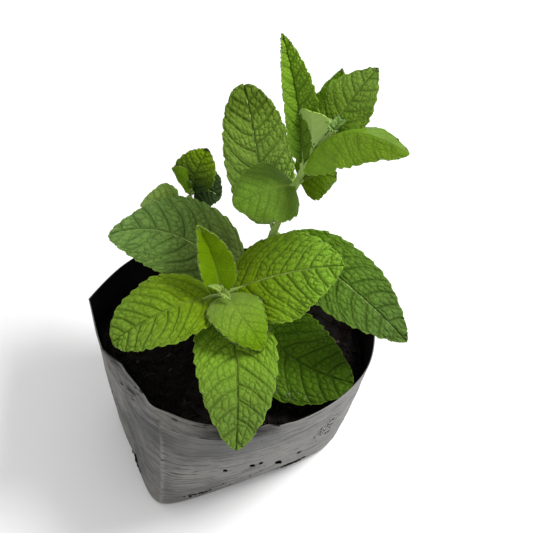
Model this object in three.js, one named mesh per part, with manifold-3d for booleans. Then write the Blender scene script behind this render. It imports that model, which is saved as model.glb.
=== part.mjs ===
// Potted mint: three rooted mint shoots in a black film nursery bag filled with potting soil.
// Millimetres, +Z up. The origin lies on the flat underside of the bag, below the middle of its mouth,
// and the bag's broad front faces -Y.
import * as THREE from "three";
import { mergeVertices } from "three/addons/utils/BufferGeometryUtils.js";
import Module from "manifold-3d";

// ---- driving dimensions ------------------------------------------------------------------------------
const BAG_HEIGHT = 72; // from the floor to the cut rim
const FILM = 0.8; // wall of the bag
const BASE_HALF_X = 43, BASE_HALF_Y = 34; // half sides of the bottom
const BASE_CENTRE = [-7, 2.5];
const RIM_HALF_X = 54.5, RIM_HALF_Y = 53.5; // half width and depth of the mouth
const RIM_CENTRE = [2.5, 1];
const SEAM_CORNER = 148; // degrees, the pointed corner of the rim
const BASE_EDGE = 2.5; // roll of film between the floor and the wall
const SOIL_TOP = 57; // mean level of the soil
const SOIL_MOUND = 3; // how much higher it stands round the stems
const GAP = 0.3; // between pieces that touch
const HOLE_GAP = 0.35; // round a stem in the soil
const BLADE = 0.7; // thickness of a leaf
const TOOTH = 0.8; // depth of a tooth of the leaf's edge
const RIB = 0.5; // how far the midrib stands out under the blade
const AROUND = 56; // points round the bag

// ---- solids ------------------------------------------------------------------------------------------
const wasm = await Module();
wasm.setup();
const turn = THREE.MathUtils.degToRad;

function toSolid(geometry) {
  const bare = geometry.index ? geometry.toNonIndexed() : geometry.clone();
  bare.deleteAttribute("normal");
  bare.deleteAttribute("uv");
  const merged = mergeVertices(bare, 1e-4);
  return new wasm.Manifold(
    new wasm.Mesh({
      numProp: 3,
      vertProperties: new Float32Array(merged.attributes.position.array),
      triVerts: new Uint32Array(merged.index.array),
    }),
  );
}

function toMesh(solid, name, material) {
  const { numProp, vertProperties, triVerts } = solid.getMesh();
  const count = vertProperties.length / numProp;
  const position = new Float32Array(count * 3);
  for (let i = 0; i < count; i++)
    position.set(vertProperties.subarray(i * numProp, i * numProp + 3), i * 3);
  const geometry = new THREE.BufferGeometry();
  geometry.setAttribute("position", new THREE.BufferAttribute(position, 3));
  geometry.setIndex([...triVerts]);
  geometry.computeVertexNormals();
  const mesh = new THREE.Mesh(geometry, material);
  mesh.name = name;
  return mesh;
}

// Joins solids into one and fills any hollow that closes between them.
function fuse(solids) {
  const joined = solids.reduce((all, next) => all.add(next));
  return joined.decompose().filter((body) => body.volume() > 0).reduce((all, next) => all.add(next));
}

// A closed skin over a stack of rings with the same number of points, capped at both ends.
function loft(rings) {
  const n = rings[0].length;
  const middle = (ring) =>
    ring.reduce((sum, p) => sum.add(p), new THREE.Vector3()).divideScalar(n);
  const points = [...rings.flat(), middle(rings[0]), middle(rings.at(-1))];
  const index = [];
  for (let r = 0; r + 1 < rings.length; r++)
    for (let k = 0; k < n; k++) {
      const a = r * n + k, b = r * n + ((k + 1) % n);
      index.push(a, b, b + n, a, b + n, a + n);
    }
  const first = n * rings.length, top = n * (rings.length - 1);
  for (let k = 0; k < n; k++) {
    index.push(first, (k + 1) % n, k);
    index.push(first + 1, top + k, top + ((k + 1) % n));
  }
  return new THREE.BufferGeometry().setFromPoints(points).setIndex(index);
}

// ---- bag ---------------------------------------------------------------------------------------------
const hump = (angle, at, spread) => {
  const away = Math.atan2(Math.sin(angle - turn(at)), Math.cos(angle - turn(at)));
  return Math.exp(-((away / spread) ** 2));
};
const corner = (angle, at, spread) => {
  const away = Math.atan2(Math.sin(angle - turn(at)), Math.cos(angle - turn(at)));
  return Math.exp(-Math.abs(away) / spread);
};

// Radius of a rounded box of half size 1: the higher the power, the squarer it is.
function boxed(angle, power) {
  const c = Math.abs(Math.cos(angle)), s = Math.abs(Math.sin(angle));
  return (c ** power + s ** power) ** (-1 / power);
}

// A point of the wall's outer face: angle round the bag, rise 0 at the floor and 1 at the rim.
function wall(angle, rise) {
  const c = Math.cos(angle), s = Math.sin(angle);
  const foot = boxed(angle, 6 - 3 * s);
  const mouth = boxed(angle, 2.35) *
    (1 + 0.1 * corner(angle, SEAM_CORNER, 0.22) - 0.03 * hump(angle, 205, 0.3)
      - 0.14 * hump(angle, 64, 0.5));
  const open = rise ** 0.75; // the film bellies out round the soil
  const fold = 1.6 * hump(angle, 186, 0.2) * Math.exp(-(((rise - 0.25) / 0.2) ** 2));
  const x = BASE_CENTRE[0] + BASE_HALF_X * foot * c;
  const y = BASE_CENTRE[1] + BASE_HALF_Y * foot * s;
  const u = RIM_CENTRE[0] + RIM_HALF_X * mouth * c;
  const v = RIM_CENTRE[1] + RIM_HALF_Y * mouth * s;
  return [x + (u - x) * open + fold, y + (v - y) * open];
}

// The height of the cut rim wanders a little, and the rim sags at the back.
const rimHeight = (angle) =>
  BAG_HEIGHT + 0.9 * Math.sin(2 * angle + 0.6) + 0.5 * Math.sin(5 * angle + 1.1)
    - 10 * hump(angle, 64, 0.5);

// A ring of the wall at a height, moved inward square to the film.
function wallRing(inset, heightAt, shrink = 1) {
  const ring = [];
  for (let k = 0; k < AROUND; k++) {
    const angle = (k / AROUND) * 2 * Math.PI, step = 0.01;
    const z = heightAt(angle);
    const rise = Math.max(z, 0) / BAG_HEIGHT;
    const [x, y] = wall(angle, rise);
    const [x0, y0] = wall(angle - step, rise), [x1, y1] = wall(angle + step, rise);
    const length = Math.hypot(x1 - x0, y1 - y0);
    const px = x - ((y1 - y0) / length) * inset, py = y + ((x1 - x0) / length) * inset;
    ring.push(new THREE.Vector3(
      BASE_CENTRE[0] + (px - BASE_CENTRE[0]) * shrink,
      BASE_CENTRE[1] + (py - BASE_CENTRE[1]) * shrink, z));
  }
  return ring;
}

// Levels of the wall, from the roll at the floor to the rim.
const WALL_LEVELS = [0.05, 0.16, 0.32, 0.52, 0.76, 1];
const levelHeight = (t) => (angle) => BASE_EDGE * (1 - t) + t * rimHeight(angle);

function makeBag() {
  const outer = WALL_LEVELS.map((t) => wallRing(0, levelHeight(t)));
  const inner = WALL_LEVELS.map((t) => wallRing(FILM, levelHeight(t))).reverse();
  return toSolid(loft([
    wallRing(BASE_EDGE, () => 0, 0.5),
    wallRing(BASE_EDGE, () => 0),
    wallRing(BASE_EDGE * 0.3, () => BASE_EDGE * 0.35),
    ...outer,
    ...inner,
    wallRing(FILM + BASE_EDGE * 0.9, () => FILM),
    wallRing(FILM + BASE_EDGE, () => FILM, 0.5),
  ]));
}

// ---- stems -------------------------------------------------------------------------------------------
// Each shoot is a rooted cutting: points of its stem from the buried end to the bud, with the thickness
// of the stem over each pair of points. The stem of mint is square with rounded corners.
const SHOOTS = {
  front: {
    stem: [[0, 9, 22], [0, 8, 60], [-1, 5, 78], [-2, 2, 89], [-5, -4, 97], [-6.5, -7.5, 102],
      [-7, -9, 105]],
    thick: [3, 2.2],
  },
  tall: {
    stem: [[8, 14, 22], [9, 13, 55], [12, 12, 73], [17, 12, 89], [23, 12, 105], [31, 10, 130],
      [33, 9, 137], [40, 8, 149], [44, 7, 156]],
    thick: [3.2, 2.4],
  },
  back: {
    stem: [[-9, 30, 22], [-7, 35, 58], [-4, 43, 72], [-2, 50, 85], [2, 53, 95]],
    thick: [2.8, 2.2],
  },
};

function section(size, sides) {
  const shape = new THREE.Shape(), points = [];
  for (let k = 0; k < sides; k++) {
    const angle = ((k + 0.5) / sides) * 2 * Math.PI;
    points.push(new THREE.Vector2(Math.cos(angle), Math.sin(angle)).multiplyScalar(size * 0.54));
  }
  return shape.setFromPoints(points);
}

function tube(points, size, steps, sides = 8) {
  const path = new THREE.CatmullRomCurve3(points.map((p) => new THREE.Vector3(...p)));
  return toSolid(new THREE.ExtrudeGeometry(section(size, sides), {
    steps, bevelEnabled: false, extrudePath: path,
  }));
}

// The lower half of a stem is thicker than the upper one.
function makeStem({ stem, thick }) {
  const half = Math.ceil(stem.length / 2);
  return fuse([
    tube(stem.slice(0, half + 1), thick[0], 8),
    tube(stem.slice(half - 1), thick[1], 8),
  ]);
}

// ---- leaves ------------------------------------------------------------------------------------------
// Each leaf starts at a point of its stem and reaches to its tip over a straight chord:
//   turned  compass direction of the chord, degrees from +X towards +Y
//   rise    slope of the chord, degrees
//   reach   length of the chord
//   width   widest part of the blade
//   arch    bow of the midrib above the chord, nod bends its tip down, bow curves it to the left
//   roll    turn of the blade about its midrib, fold lifts both halves, curl lets the edges drop
//   stalk   length of the bare leaf stalk
//   form    the outline's powers at base and tip, teeth the number of teeth along one edge
const LEAVES = {
  front: [
    { at: [-6.5, -7.5, 102], turned: 102, rise: 60, reach: 29.5, width: 17, arch: -2, bow: -2.5,
      roll: -10, fold: 34, stalk: 0.5, form: [0.4, 0.8], teeth: 6 },
    { at: [-6.5, -7.5, 102], turned: -74, rise: -14, reach: 27, width: 22, arch: 6, bow: -1, roll: -4,
      fold: 5, curl: 0.2, stalk: 1, form: [0.4, 0.7], teeth: 7 },
    { at: [-5, -4, 97], turned: -174, rise: -2, reach: 45, width: 33, arch: 5, fold: 10,
      form: [0.35, 0.5], teeth: 9 },
    { at: [-5, -4, 97], turned: -22, rise: 21, reach: 49, width: 39, arch: 1, bow: 2.5, roll: 12,
      fold: -3, form: [0.55, 0.75], teeth: 10 },
    { at: [-2, 2, 89], turned: -107, rise: -4, reach: 67, width: 32, arch: 6, bow: 2.5, fold: 10,
      form: [0.5, 0.65], teeth: 10 },
    { at: [-1, 5, 78], turned: 165, rise: -25, reach: 22, width: 15, arch: 2, teeth: 5 },
  ],
  tall: [
    { at: [12, 12, 73], turned: -68, rise: -4, reach: 59.5, width: 38, arch: -1, bow: -9, roll: 12,
      fold: 3, form: [0.55, 0.6], teeth: 10 },
    { at: [12, 12, 73], turned: 137, rise: 12, reach: 64, width: 38, arch: 18, nod: 4, bow: 2,
      roll: -12, fold: 6, teeth: 11 },
    { at: [23, 12, 105], turned: 84, rise: 50, reach: 58, width: 28, arch: 3, nod: 6, bow: 1.5,
      fold: 12, form: [0.42, 0.5], teeth: 10 },
    { at: [23, 12, 105], turned: -60, rise: -16, reach: 67, width: 30, arch: 6, bow: -1, roll: 10,
      fold: 6, teeth: 11 },
    { at: [31, 10, 130], turned: 186, rise: 3, reach: 26, width: 27, arch: 3, bow: 0.5, roll: -14,
      fold: 0, curl: 0.2, stalk: 1, form: [0.3, 0.6], teeth: 7 },
    { at: [31, 10, 130], turned: -14, rise: 5, reach: 15.5, width: 20, arch: 3, roll: 28,
      form: [0.3, 0.7], stalk: 2, teeth: 6 },
    { at: [33, 9, 137], turned: 87, rise: 62, reach: 51, width: 17, arch: 3, bow: -1, fold: 38,
      form: [0.47, 0.75], teeth: 10 },
    { at: [33, 9, 137], turned: -49, rise: 34, reach: 47, width: 27.7, arch: 11.3, nod: 0.6, bow: 2.6,
      roll: 4, fold: -32, curl: 0, stalk: 1, form: [0.51, 0.65], teeth: 9 },
    { at: [40, 8, 149], turned: 18, rise: 40, reach: 33.5, width: 22, arch: 2, roll: 12,
      form: [0.55, 0.9], teeth: 7 },
    { at: [36, 8, 143], turned: 76, rise: 79.5, reach: 20, width: 13.5, arch: -1, bow: -0.7, roll: 141,
      fold: 18, form: [1.25, 0.42], stalk: 3, teeth: 5 },
    { at: [40, 8, 149], turned: 47, rise: 45, reach: 28, width: 15.5, roll: 20, fold: 5,
      form: [0.55, 0.95], stalk: 2, teeth: 5 },
    { at: [36, 8, 143], turned: 66, rise: 48, reach: 25, width: 9, fold: 10, stalk: 2, teeth: 4 },
  ],
  back: [
    { at: [2, 53, 95], turned: 32, rise: 50, reach: 20.5, width: 21, arch: 2, stalk: 2, teeth: 6 },
    { at: [-2, 50, 85], turned: 138, rise: 5, reach: 20, width: 18, arch: 7, teeth: 6 },
    { at: [2, 53, 95], turned: -30, rise: 0, reach: 13, width: 22, arch: 4, roll: 14, curl: 0.2,
      stalk: 2, teeth: 5 },
    { at: [2, 53, 95], turned: 150, rise: 65, reach: 16, width: 11, arch: 1, fold: 20, stalk: 2,
      teeth: 4 },
  ],
};

// The folded bud at the end of each shoot: two small leaves pressed together.
const BUDS = {
  front: { at: [-7, -9, 104], turned: -75, rise: 25, reach: 7, width: 5, fold: 35, stalk: 1, teeth: 2 },
  tall: { at: [44, 7, 155], turned: -40, rise: 55, reach: 9, width: 6, fold: 35, stalk: 1, teeth: 2 },
};

// A point of the midrib, t from 0 at the stem to 1 at the tip.
function midrib(leaf, t) {
  const a = turn(leaf.turned), r = turn(leaf.rise);
  const along = new THREE.Vector3(Math.cos(r) * Math.cos(a), Math.cos(r) * Math.sin(a), Math.sin(r));
  const left = new THREE.Vector3(-Math.sin(a), Math.cos(a), 0);
  const up = along.clone().cross(left);
  const swell = 4 * t * (1 - t), end = Math.max(0, (t - 0.55) / 0.45);
  return new THREE.Vector3(...leaf.at)
    .addScaledVector(along, leaf.reach * t)
    .addScaledVector(up, (leaf.arch ?? 0) * swell - (leaf.nod ?? 0) * end * end)
    .addScaledVector(left, (leaf.bow ?? 0) * swell);
}

// Half the blade's width, s from 0 at its base to 1 at its tip.
function halfWidth(leaf, s) {
  const [p, q] = leaf.form ?? [0.55, 0.75], peak = p / (p + q);
  const rounded = (s / peak) ** p * ((1 - s) / (1 - peak)) ** q;
  return Math.max((leaf.width / 2) * rounded, 0.35);
}

// A point of the blade's middle surface, v from -1 at the right edge to 1 at the left one.
function bladePoint(leaf, s, v, inset = 0) {
  const stalk = (leaf.stalk ?? 4) / leaf.reach, t = stalk + (1 - stalk) * s, step = 1e-3;
  const along = midrib(leaf, t + step).sub(midrib(leaf, t - step)).normalize();
  const a = turn(leaf.turned), flat = new THREE.Vector3(-Math.sin(a), Math.cos(a), 0);
  const side = flat.addScaledVector(along, -flat.dot(along)).normalize();
  const up = along.clone().cross(side);
  const roll = turn(leaf.roll ?? 0), fold = turn(leaf.fold ?? 12);
  const left = side.clone().multiplyScalar(Math.cos(roll)).addScaledVector(up, Math.sin(roll));
  const top = up.clone().multiplyScalar(Math.cos(roll)).addScaledVector(side, -Math.sin(roll));
  const half = halfWidth(leaf, s), across = v * Math.max(half - inset, 0.3);
  const wave = 0.022 * leaf.width * v * v * Math.sin(Math.PI * (4.5 * s + (v > 0 ? 0.6 : 0)) + leaf.turned);
  return midrib(leaf, t)
    .addScaledVector(left, Math.cos(fold) * across)
    .addScaledVector(top, Math.abs(across) * Math.sin(fold) - (leaf.curl ?? 0.1) * v * v * half
      + wave * Math.sin(Math.PI * s));
}

// The blade as a thin solid: both faces are split into the same triangles, and each tooth of the edge
// leans forward, with a notch behind it.
function blade(leaf) {
  const columns = leaf.width < 20 ? [-1, 0, 1] : [-1, -0.5, 0, 0.5, 1];
  const rows = [{ s: 0.002, inset: 0 }];
  for (let k = 0; k < leaf.teeth; k++) {
    const from = 0.04 + (0.92 * k) / leaf.teeth, size = 0.92 / leaf.teeth;
    const depth = TOOTH * Math.min(1, leaf.width / 24);
    if (k > 0) rows.push({ s: from, inset: depth });
    rows.push({ s: from + 0.78 * size, inset: 0 });
  }
  rows.push({ s: 0.97, inset: 0 }, { s: 0.999, inset: 0 });
  const upper = [], lower = [], step = 1e-3;
  for (const { s, inset } of rows)
    for (const v of columns) {
      const cut = Math.abs(v) === 1 ? inset : 0;
      const forward = bladePoint(leaf, s + step, v).sub(bladePoint(leaf, s - step < 0 ? 0 : s - step, v));
      const across = bladePoint(leaf, s, v + 0.05).sub(bladePoint(leaf, s, v - 0.05));
      const normal = forward.cross(across).normalize().multiplyScalar(BLADE / 2);
      const p = bladePoint(leaf, s, v, cut);
      upper.push(p.clone().add(normal));
      lower.push(p.clone().addScaledVector(normal, v === 0 ? -1 - (2 * RIB / BLADE) * (1 - s) : -1));
    }
  const n = columns.length, m = rows.length, under = upper.length, index = [];
  const quad = (a, b, c, d) => index.push(a, b, c, a, c, d);
  for (let i = 0; i + 1 < m; i++)
    for (let j = 0; j + 1 < n; j++) {
      const a = i * n + j, b = a + n, c = b + 1, d = a + 1;
      quad(a, b, c, d);
      index.push(under + a, under + c, under + b, under + a, under + d, under + c);
    }
  for (let i = 0; i + 1 < m; i++) {
    const a = i * n, b = a + n, c = a + n - 1, d = c + n;
    quad(a, under + a, under + b, b);
    quad(d, under + d, under + c, c);
  }
  for (let j = 0; j + 1 < n; j++) {
    const a = j, b = j + 1, c = (m - 1) * n + j, d = c + 1;
    quad(b, under + b, under + a, a);
    quad(c, under + c, under + d, d);
  }
  return toSolid(new THREE.BufferGeometry().setFromPoints([...upper, ...lower]).setIndex(index));
}

// The stalk starts at the middle of the stem and ends well inside the blade.
function leafStalk(leaf) {
  const stalk = (leaf.stalk ?? 4) / leaf.reach;
  const points = [0, stalk, stalk + 0.12 * (1 - stalk)].map((t) => midrib(leaf, t).toArray());
  return tube(points, leaf.width > 12 ? 1.6 : 1.2, 3, 6);
}

const makeShoot = (name) => {
  const leaves = BUDS[name] ? [...LEAVES[name], BUDS[name]] : LEAVES[name];
  return fuse([makeStem(SHOOTS[name]), ...leaves.flatMap((leaf) => [leafStalk(leaf), blade(leaf)])]);
};

// ---- soil --------------------------------------------------------------------------------------------
// Lumps of the soil's top: a few crossing waves of different length.
function soilHeight(x, y) {
  const mound = SOIL_MOUND * Math.exp(-((x - 4) ** 2 + (y - 12) ** 2) / 900);
  const lumps = 0.9 * Math.sin(0.31 * x + 0.9) * Math.cos(0.27 * y - 0.4)
    + 0.6 * Math.sin(0.63 * x - 0.52 * y + 2) + 0.4 * Math.cos(0.95 * x + 0.8 * y);
  return SOIL_TOP + mound + lumps;
}

// The soil fills the bag up to the level below its rim, and is heaped a little from there.
function makeSoil() {
  const inset = FILM + GAP, floor = FILM + GAP;
  const side = WALL_LEVELS.slice(0, -1).map((t) => wallRing(inset, levelHeight(t)));
  const top = [0.92, 0.8, 0.66, 0.51, 0.35, 0.18].map((shrink) =>
    side.at(-1).map(({ x, y }) => {
      const px = x * shrink, py = y * shrink;
      return new THREE.Vector3(px, py, soilHeight(px, py));
    }));
  return toSolid(loft([
    wallRing(FILM + BASE_EDGE + 1.2, () => floor, 0.5),
    wallRing(FILM + BASE_EDGE + 1.2, () => floor),
    ...side,
    ...top,
  ]));
}

// The plain hole that a stem stands in, open at the top of the soil.
function stemHole({ stem, thick }) {
  const [bottom, ...rest] = stem.slice(0, 4);
  const low = [bottom[0], bottom[1], bottom[2] - HOLE_GAP];
  return tube([low, ...rest], thick[0] + 2 * HOLE_GAP, 10);
}

// ---- the plant ---------------------------------------------------------------------------------------
const paint = (color, roughness) => new THREE.MeshStandardMaterial({ color, roughness, metalness: 0 });

const mint = new THREE.Group();
mint.name = "potted_mint";
mint.add(toMesh(makeBag(), "polybag", paint(0x4a4a4c, 0.5)));
const soil = Object.values(SHOOTS).reduce((ground, shoot) => ground.subtract(stemHole(shoot)), makeSoil());
mint.add(toMesh(soil, "potting_soil", paint(0x1d1613, 0.95)));
mint.add(toMesh(makeShoot("front"), "shoot_front", paint(0x6e9a1c, 0.6)));
mint.add(toMesh(makeShoot("tall"), "shoot_tall", paint(0x4f7d2b, 0.6)));
mint.add(toMesh(makeShoot("back"), "shoot_back", paint(0x4c7430, 0.6)));

export default mint;
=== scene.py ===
"""Potted mint: three leafy shoots of mint in a black film nursery bag filled with potting soil.

Sizes are in millimetres and directions in degrees; each mesh is turned to metres as its points are set.
"""
import math
import random
from dataclasses import dataclass

import bmesh
import bpy
import numpy as np
from mathutils import Matrix, Vector, noise


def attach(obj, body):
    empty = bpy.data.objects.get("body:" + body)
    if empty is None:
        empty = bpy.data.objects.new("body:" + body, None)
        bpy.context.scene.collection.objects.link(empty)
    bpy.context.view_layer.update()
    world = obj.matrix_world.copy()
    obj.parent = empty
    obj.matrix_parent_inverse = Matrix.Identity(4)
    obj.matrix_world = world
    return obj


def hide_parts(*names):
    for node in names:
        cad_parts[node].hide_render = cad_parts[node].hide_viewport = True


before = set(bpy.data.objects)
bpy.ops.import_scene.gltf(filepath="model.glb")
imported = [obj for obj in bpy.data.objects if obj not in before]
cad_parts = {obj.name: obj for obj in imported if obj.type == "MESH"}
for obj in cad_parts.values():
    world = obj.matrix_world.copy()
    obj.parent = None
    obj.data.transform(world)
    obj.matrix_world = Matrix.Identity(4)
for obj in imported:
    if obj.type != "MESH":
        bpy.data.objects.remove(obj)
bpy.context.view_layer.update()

# ---- the nursery bag --------------------------------------
# A seedling bag blown from black low-density polyethylene. It was laid flat, its bottom welded shut and
# its sides punched for drainage, and then it was filled, so it stands in buckles and creases.
MM = 0.001
BAG_HEIGHT = 72.0
BASE_HALF, BASE_CENTRE = (43.0, 34.0), (-7.0, 2.5)
RIM_HALF, RIM_CENTRE = (54.5, 53.5), (2.5, 1.0)
SEAM_CORNER = 148  # where the weld runs up to the rim
BASE_ROLL = 2.5  # radius of the film's bend from bottom to wall
PRESSED = 6.0  # height up to which the soil's weight presses the buckles out
FILM = 0.4  # drawn a little thicker than real film, so that the cut rim shows
BAG_COLUMNS, BAG_ROWS = 330, 140
FRONT, CROWDING = 275, 0.42  # the columns crowd together at the front, where the buckles show
BOTTOM_SHARE = 0.06  # of the rows lie under the bag
# from the bag's middle out to the rim, to the holes and to the wall half way up, and the film's height
RIM_REACH, HOLE_REACH, WALL_REACH, FILM_HEIGHT = 54, 52, 50, 78
# direction, height and half width of each drain hole, and how much taller and more aslant the film
# pulled it
DRAIN_HOLES = [(249, 34, 0.8), (262.5, 31, 1.2), (267, 30.5, 0.9), (279.5, 19.5, 1.6), (290, 21.5, 1.0),
               (302, 30, 0.9), (340, 24, 1.3), (20, 26, 1.3), (60, 24, 1.3), (75, 38, 1.2),
               (105, 25, 1.3), (122, 39, 1.2), (196, 25, 1.2)]
HOLE_STRETCH, HOLE_SLANT = 2.4, 0.4
CUT_OUT, DRAWN = 0.75, 1.25  # of a hole's size: points nearer are cut out, and the next are drawn to its edge
# patches of mud on the film: weight, direction and width in degrees, height and spread up the wall
MUD_PATCHES = [(0.9, 288, 9, 0, 4), (0.75, 242, 4, 5, 2), (0.62, 302, 8, 42, 12)]


def away(angle, direction):
    """Angle in radians from a compass direction, the short way round."""
    return np.arctan2(np.sin(angle - np.radians(direction)), np.cos(angle - np.radians(direction)))


def hump(angle, direction, spread):
    return np.exp(-(away(angle, direction) / spread) ** 2)


def boxed(angle, power):
    """Radius of a rounded box of half size 1; a higher power makes it squarer."""
    return (np.abs(np.cos(angle)) ** power + np.abs(np.sin(angle)) ** power) ** (-1 / power)


def bag_wall(angle, rise):
    """The outer face of the filled bag, rise 0 at the floor and 1 at the rim."""
    c, s = np.cos(angle), np.sin(angle)
    foot = boxed(angle, 6 - 3 * s)
    mouth = boxed(angle, 2.35) * (1 + 0.1 * np.exp(-np.abs(away(angle, SEAM_CORNER)) / 0.22)
                                  - 0.03 * hump(angle, 205, 0.3) - 0.14 * hump(angle, 64, 0.5))
    opened = rise ** 0.75
    dent = 1.6 * hump(angle, 186, 0.2) * np.exp(-((rise - 0.25) / 0.2) ** 2)
    x = BASE_CENTRE[0] + BASE_HALF[0] * foot * c
    y = BASE_CENTRE[1] + BASE_HALF[1] * foot * s
    u = RIM_CENTRE[0] + RIM_HALF[0] * mouth * c
    v = RIM_CENTRE[1] + RIM_HALF[1] * mouth * s
    return x + (u - x) * opened + dent, y + (v - y) * opened


def rim_height(angle):
    """It wanders a little, stands up at the front left and sags at the back."""
    shaped = 2.2 * hump(angle, 240, 0.4) - 10 * hump(angle, 64, 0.5)
    return BAG_HEIGHT + 0.9 * np.sin(2 * angle + 0.6) + 0.5 * np.sin(5 * angle + 1.1) + shaped


def film_face(angle, z):
    """A point of the wall's outer face at a height, and its outward direction over the floor."""
    x, y = bag_wall(angle, z / BAG_HEIGHT)
    x0, y0 = bag_wall(angle - 0.01, z / BAG_HEIGHT)
    x1, y1 = bag_wall(angle + 0.01, z / BAG_HEIGHT)
    length = np.hypot(x1 - x0, y1 - y0)
    return x, y, (y1 - y0) / length, -(x1 - x0) / length


def drawn_in(x, y, share, part):
    """Draws some of the points in to the middle of the bag's bottom, to a share of their distance."""
    u, v = BASE_CENTRE
    return np.where(part, u + (x - u) * share, x), np.where(part, v + (y - v) * share, y)


def wander(x, y, layer=0.0):
    """Smooth noise from -1 to 1 over a plane, with lumps about one unit across."""
    return np.array([noise.noise((a, b, layer)) for a, b in zip(x, y)])


def as_mesh(shape, name):
    """Turns a finished bmesh into a mesh and frees it."""
    mesh = bpy.data.meshes.new(name)
    shape.to_mesh(mesh)
    shape.free()
    return mesh


def flat_sheet(name, columns, rows):
    """A flat mesh one unit square, and how far each of its points is across and up."""
    sheet = bmesh.new()
    sheet.loops.layers.uv.new("UVMap")
    bmesh.ops.create_grid(sheet, x_segments=columns, y_segments=rows, size=0.5,
                          matrix=Matrix.Translation((0.5, 0.5, 0)), calc_uvs=True)
    mesh = as_mesh(sheet, name)
    flat = np.zeros(len(mesh.vertices) * 3)
    mesh.vertices.foreach_get("co", flat)
    across, up = flat.reshape(-1, 3)[:, 0], flat.reshape(-1, 3)[:, 1]
    return mesh, across, up


def lay_uv(mesh, across, up):
    """Lays the UV map out at its true size, from each point's place across and up the sheet."""
    corners = np.zeros(len(mesh.loops), int)
    mesh.loops.foreach_get("vertex_index", corners)
    mesh.uv_layers["UVMap"].data.foreach_set("uv", (np.stack([across, up], 1)[corners] * MM).ravel())


def set_points(mesh, points):
    mesh.vertices.foreach_set("co", (points * MM).ravel())
    mesh.update()


def lay_values(mesh, **values):
    """Gives the points values that a material reads by name."""
    for name, value in values.items():
        mesh.attributes.new(name, "FLOAT", "POINT").data.foreach_set("value", value)


def close_seams(mesh, cut_out=()):
    """Cuts points out of a sheet, and welds it where it was rolled into a closed form."""
    welded = bmesh.new()
    welded.from_mesh(mesh)
    welded.verts.ensure_lookup_table()
    bmesh.ops.delete(welded, geom=[welded.verts[i] for i in np.nonzero(cut_out)[0]], context="VERTS")
    bmesh.ops.remove_doubles(welded, verts=welded.verts, dist=1e-6)
    bmesh.ops.dissolve_degenerate(welded, edges=welded.edges, dist=1e-7)
    welded.to_mesh(mesh)
    welded.free()


def placed(name, data):
    """An object in the scene, holding a mesh, a camera or a lamp."""
    thing = bpy.data.objects.new(name, data)
    bpy.context.scene.collection.objects.link(thing)
    return thing


def finished(mesh, materials, slot, *nodes):
    """Makes the piece: smooth faces, its materials, its place on the body and the CAD nodes it stands for."""
    mesh.shade_smooth()
    for material in materials:
        mesh.materials.append(material)
    piece = placed(mesh.name, mesh)
    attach(piece, "root")
    if nodes:
        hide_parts(*nodes)
    return piece


def thicken(piece, thickness):
    """Gives a sheet its thickness inwards, with its second material on the inner face."""
    wall = piece.modifiers.new("thickness", "SOLIDIFY")
    wall.thickness = thickness * MM
    wall.offset = -1
    wall.material_offset = 1
    return piece


def linear(hex_colour):
    """An sRGB hex colour as linear red, green, blue and alpha."""
    parts = [int(hex_colour[i:i + 2], 16) / 255 for i in (1, 3, 5)]
    return [p / 12.92 if p <= 0.04045 else ((p + 0.055) / 1.055) ** 2.4 for p in parts] + [1.0]


def feed(tree, node, inputs):
    """Sets a node's inputs; each is a value, or the output that feeds it."""
    for key, value in inputs.items():
        if isinstance(value, bpy.types.NodeSocket):
            tree.links.new(value, node.inputs[key])
        else:
            node.inputs[key].default_value = value


def add(tree, kind, inputs, out=0, **settings):
    """Adds a shader node with its inputs and settings, and gives back one of its outputs."""
    node = tree.nodes.new("ShaderNode" + kind)
    for key, value in settings.items():
        setattr(node, key, value)
    feed(tree, node, inputs)
    return node.outputs[out]


def new_material(name):
    """A material with its node tree and its surface shader."""
    material = bpy.data.materials.new(name)
    material.use_nodes = True
    return material, material.node_tree, material.node_tree.nodes["Principled BSDF"]


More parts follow.
